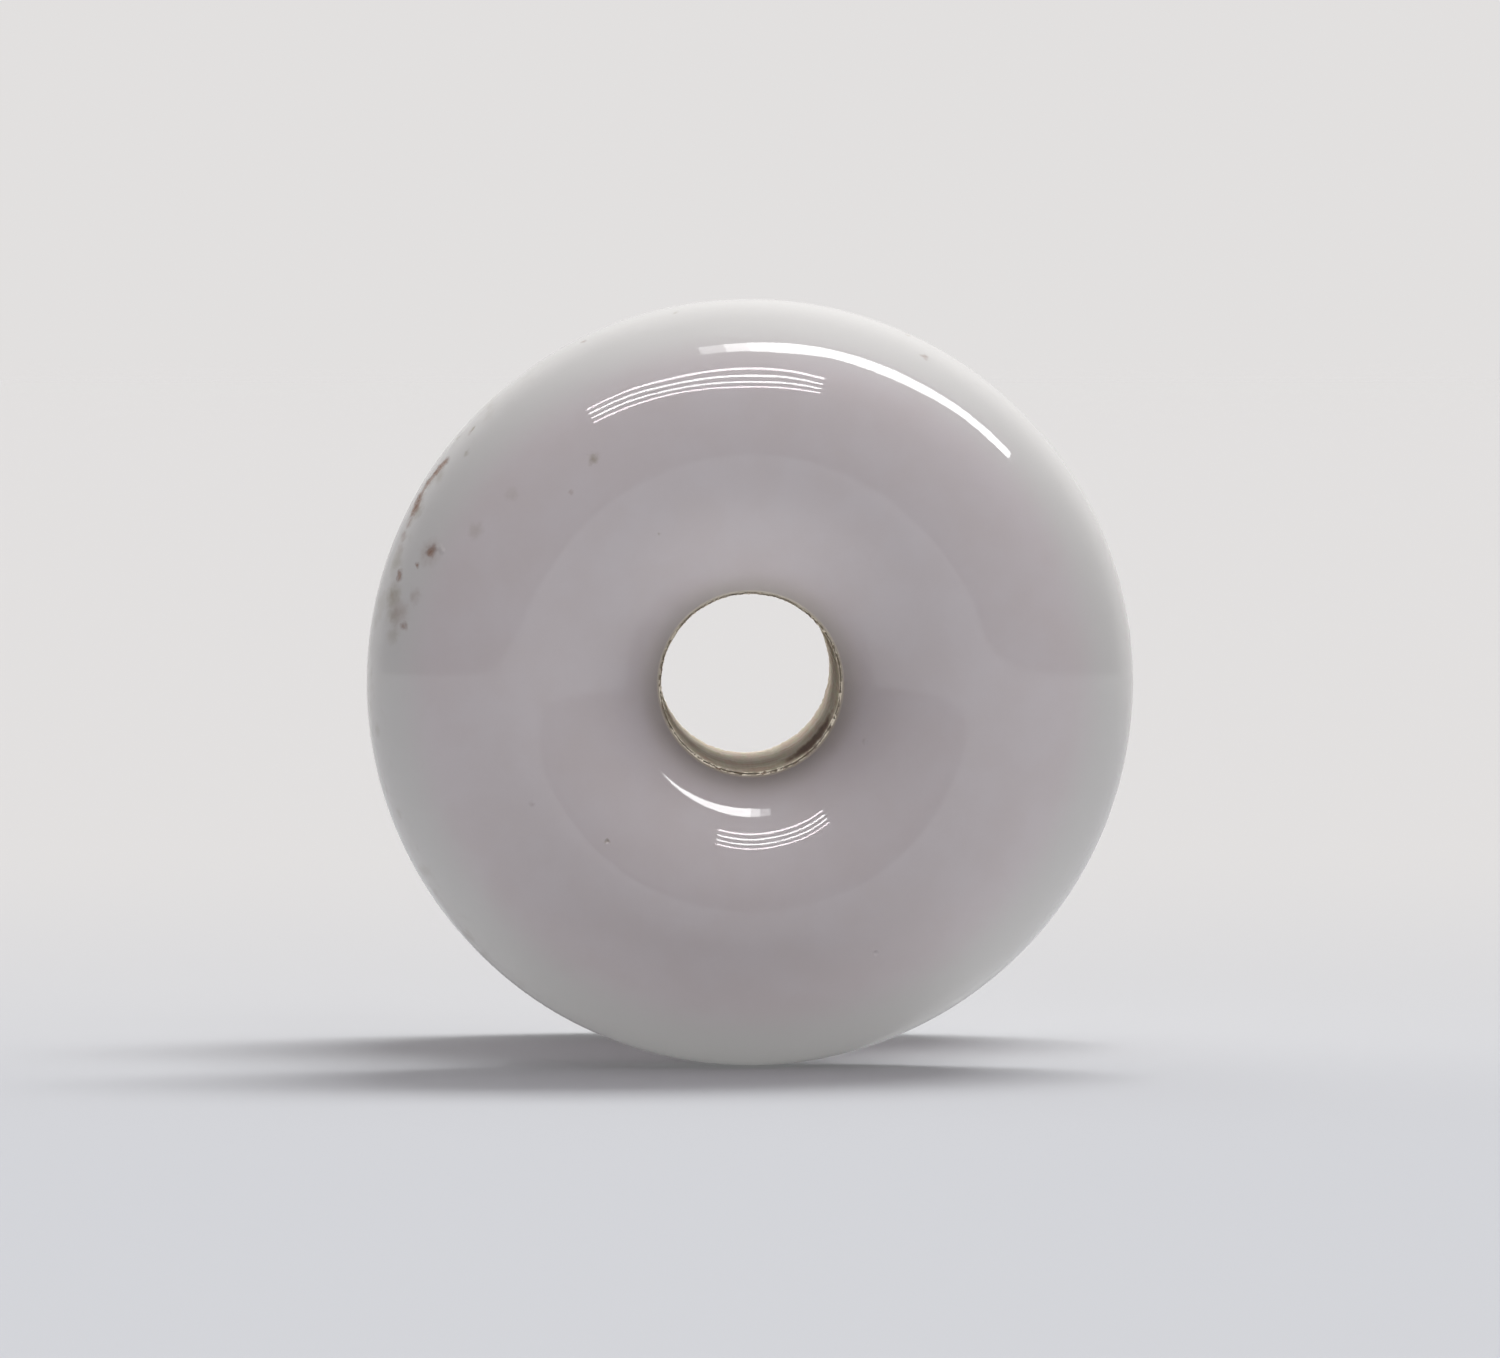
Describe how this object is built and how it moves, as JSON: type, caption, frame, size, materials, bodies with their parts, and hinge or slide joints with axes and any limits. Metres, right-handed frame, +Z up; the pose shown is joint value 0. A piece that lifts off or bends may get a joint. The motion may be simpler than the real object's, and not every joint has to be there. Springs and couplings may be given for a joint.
{
  "type": "fence insulator",
  "caption": "White glazed porcelain spool that holds a fence wire clear of its post: a plain bore for the bolt and a round groove for the wire.",
  "frame": {"origin": "middle of the bore, which is also the centre of the spool", "axes": "+Y along the bore from the front end to the back end, +Z up as the spool lies on its flanges, +X to the right seen from the front"},
  "size_m": [0.038, 0.038, 0.038],
  "materials": {
    "bisque": "matte",
    "glaze": "gloss"
  },
  "bodies": {
    "root": {"porcelain_body": "bisque", "glaze_coat": "glaze"}
  },
  "joints": []
}
